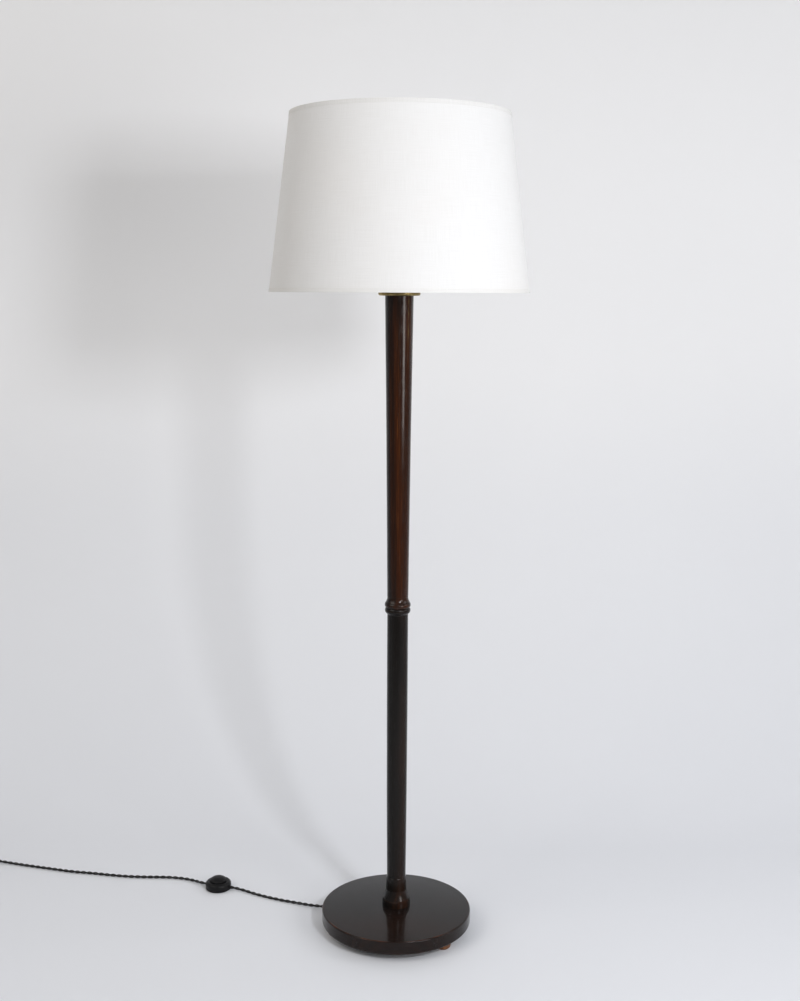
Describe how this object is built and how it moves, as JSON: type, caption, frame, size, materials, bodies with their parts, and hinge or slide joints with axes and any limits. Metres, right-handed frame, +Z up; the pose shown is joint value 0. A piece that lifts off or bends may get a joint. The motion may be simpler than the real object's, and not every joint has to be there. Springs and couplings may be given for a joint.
{
  "type": "floor lamp",
  "caption": "Turned wooden candlestick floor lamp with a jointed column, a drum-taper cloth shade, a weighted round base on bun feet and a cloth flex with foot switch.",
  "frame": {"origin": "on the floor, on the column's axis", "axes": "+Z up; -Y towards the viewer of the picture, +X to the viewer's right; the flex leaves the base towards -X"},
  "size_m": [1.2149, 0.5545, 1.492],
  "materials": {
    "dark_wood": "dark stained and polished hardwood, worn to red-brown in places",
    "foot_wood": "brown stained turned wood, thin polish",
    "old_brass": "aged, olive brown, brighter on edges",
    "bright_brass": "plain turned brass",
    "iron": "raw, as cast",
    "plated_steel": "zinc plated, dulled",
    "porcelain": "white glaze",
    "lamp_cap_metal": "rolled thread, matte",
    "opal_glass": "opal white, smooth",
    "black_glass": "opaque black",
    "shade_cloth": "off-white woven cloth on stiff backing",
    "shade_tape": "off-white rolled edge tape",
    "white_wire": "white coated wire",
    "cloth_flex": "two twisted strands in black braided cloth",
    "tie_cloth": "black woven tie",
    "dark_moulding": "dark brown-black moulding, dulled gloss"
  },
  "bodies": {
    "lamp": {"base_disc": "dark_wood", "base_nut": "plated_steel", "base_washer": "plated_steel", "base_weight": "iron", "brass_disc": "old_brass", "centre_contact": "bright_brass", "clip_screws": "plated_steel", "coil_tie": "tie_cloth", "cord_clip": "plated_steel", "cord_coil": "cloth_flex", "cord_to_coil": "cloth_flex", "cord_to_plug": "cloth_flex", "cord_to_switch": "cloth_flex", "foot_front_right": "foot_wood", "foot_left": "foot_wood", "foot_rear": "foot_wood", "foot_screws": "plated_steel", "gallery_nut": "plated_steel", "holder_cap": "old_brass", "holder_core": "porcelain", "holder_shell": "old_brass", "inner_lead": "cloth_flex", "lower_column": "dark_wood", "plug_body": "dark_moulding", "plug_cover": "dark_moulding", "plug_pins": "bright_brass", "plug_screw": "plated_steel", "screw_shell": "bright_brass", "switch_base": "dark_moulding", "switch_block": "dark_moulding", "switch_housing": "dark_moulding", "switch_screws": "plated_steel", "switch_spring": "plated_steel", "switch_terminals": "bright_brass", "terminal_screws": "bright_brass", "tie_tube": "plated_steel", "upper_column": "dark_wood", "weight_screws": "plated_steel"},
    "switch_button": {"switch_button": "dark_moulding"},
    "shade": {"shade_cover": "shade_cloth", "top_ring": "white_wire", "bottom_ring": "white_wire", "top_trim": "shade_tape", "bottom_trim": "shade_tape", "shade_hub": "white_wire", "spider_arms": "white_wire"},
    "shade_ring": {"shade_ring": "old_brass"},
    "bulb": {"bulb_contact": "bright_brass", "bulb_insulator": "black_glass", "bulb_cap": "lamp_cap_metal", "bulb_glass": "opal_glass"}
  },
  "joints": [
    {"name": "switch_press", "type": "slide", "parent": "lamp", "child": "switch_button", "axis": [0, 0, -1], "range_m": [0, 0.003], "stiffness_N_per_m": 700, "springref_m": -0.002, "deforming": ["switch_spring"]},
    {"name": "shade_turn", "type": "hinge", "parent": "lamp", "child": "shade", "pos_m": [0, 0, 1.2276], "axis": [0, 0, 1], "continuous": true},
    {"name": "shade_ring_turn", "type": "hinge", "parent": "lamp", "child": "shade_ring", "pos_m": [0, 0, 1.2337], "axis": [0, 0, 1], "continuous": true},
    {"name": "bulb_turn", "type": "hinge", "parent": "lamp", "child": "bulb", "pos_m": [0, 0, 1.2367], "axis": [0, 0, 1], "continuous": true}
  ]
}
